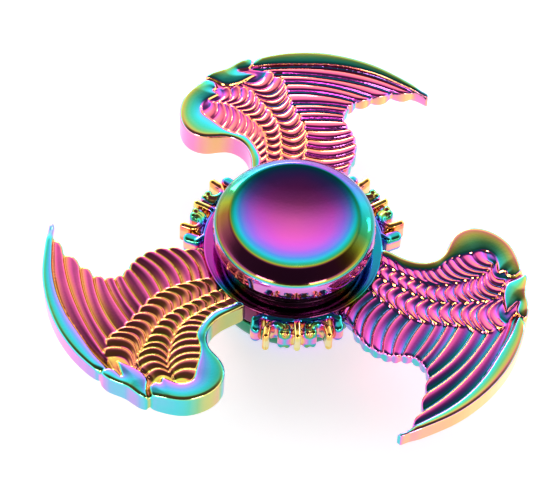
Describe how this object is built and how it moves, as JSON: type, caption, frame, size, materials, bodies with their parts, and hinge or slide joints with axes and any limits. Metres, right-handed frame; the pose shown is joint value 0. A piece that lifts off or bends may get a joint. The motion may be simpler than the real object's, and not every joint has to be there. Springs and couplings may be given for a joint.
{
  "type": "fidget spinner",
  "caption": "Hand spinner: winged metal casting turning on a ball bearing between dished thumb caps, mirror finish in rainbow colours.",
  "frame": {"origin": "centre of the ball bearing, on the spin axis and half way between the two thumb caps", "axes": "+Z along the spin axis, out of the upper thumb cap; +Y along the middle line of the far wing; both faces are alike"},
  "size_m": [0.0746, 0.0729, 0.0188],
  "materials": {
    "rainbow_casting": "polished",
    "rainbow_cap": "polished",
    "bearing_steel": "polished",
    "ball_steel": "polished",
    "cage_steel": "satin",
    "shield_steel": "satin",
    "spring_steel": "satin",
    "black_steel": "satin"
  },
  "bodies": {
    "thumb_grip": {"thumb_cap_upper": "rainbow_cap", "thumb_cap_lower": "rainbow_cap", "clamp_stud": "black_steel", "bearing_inner_race": "bearing_steel"},
    "spinning_frame": {"wing_frame": "rainbow_casting", "bearing_outer_race": "bearing_steel", "shield_upper": "shield_steel", "shield_lower": "shield_steel", "snap_ring_upper": "spring_steel", "snap_ring_lower": "spring_steel"},
    "ball_cage": {"cage_half_upper": "cage_steel", "cage_half_lower": "cage_steel", "cage_rivets": "cage_steel"},
    "ball_1": {"bearing_ball_1": "ball_steel"},
    "ball_2": {"bearing_ball_2": "ball_steel"},
    "ball_3": {"bearing_ball_3": "ball_steel"},
    "ball_4": {"bearing_ball_4": "ball_steel"},
    "ball_5": {"bearing_ball_5": "ball_steel"},
    "ball_6": {"bearing_ball_6": "ball_steel"},
    "ball_7": {"bearing_ball_7": "ball_steel"}
  },
  "joints": [
    {"name": "frame_spin", "type": "hinge", "parent": "thumb_grip", "child": "spinning_frame", "pos_m": [0, 0, 0], "axis": [0, 0, 1], "continuous": true},
    {"name": "cage_orbit", "type": "hinge", "parent": "thumb_grip", "child": "ball_cage", "pos_m": [0, 0, 0], "axis": [0, 0, 1], "continuous": true},
    {"name": "ball_1_roll", "type": "hinge", "parent": "ball_cage", "child": "ball_1", "pos_m": [0.0075, 0, 0], "axis": [0, 0, 1], "continuous": true},
    {"name": "ball_2_roll", "type": "hinge", "parent": "ball_cage", "child": "ball_2", "pos_m": [0.00468, 0.00586, 0], "axis": [0, 0, 1], "continuous": true},
    {"name": "ball_3_roll", "type": "hinge", "parent": "ball_cage", "child": "ball_3", "pos_m": [-0.00167, 0.00731, 0], "axis": [0, 0, 1], "continuous": true},
    {"name": "ball_4_roll", "type": "hinge", "parent": "ball_cage", "child": "ball_4", "pos_m": [-0.00676, 0.00325, 0], "axis": [0, 0, 1], "continuous": true},
    {"name": "ball_5_roll", "type": "hinge", "parent": "ball_cage", "child": "ball_5", "pos_m": [-0.00676, -0.00325, 0], "axis": [0, 0, 1], "continuous": true},
    {"name": "ball_6_roll", "type": "hinge", "parent": "ball_cage", "child": "ball_6", "pos_m": [-0.00167, -0.00731, 0], "axis": [0, 0, 1], "continuous": true},
    {"name": "ball_7_roll", "type": "hinge", "parent": "ball_cage", "child": "ball_7", "pos_m": [0.00468, -0.00586, 0], "axis": [0, 0, 1], "continuous": true}
  ],
  "couplings": [
    {"joint": "cage_orbit", "follows": "frame_spin", "ratio": 0.6323},
    {"joint": "ball_1_roll", "follows": "frame_spin", "ratio": 1.7573},
    {"joint": "ball_2_roll", "follows": "frame_spin", "ratio": 1.7573},
    {"joint": "ball_3_roll", "follows": "frame_spin", "ratio": 1.7573},
    {"joint": "ball_4_roll", "follows": "frame_spin", "ratio": 1.7573},
    {"joint": "ball_5_roll", "follows": "frame_spin", "ratio": 1.7573},
    {"joint": "ball_6_roll", "follows": "frame_spin", "ratio": 1.7573},
    {"joint": "ball_7_roll", "follows": "frame_spin", "ratio": 1.7573}
  ]
}
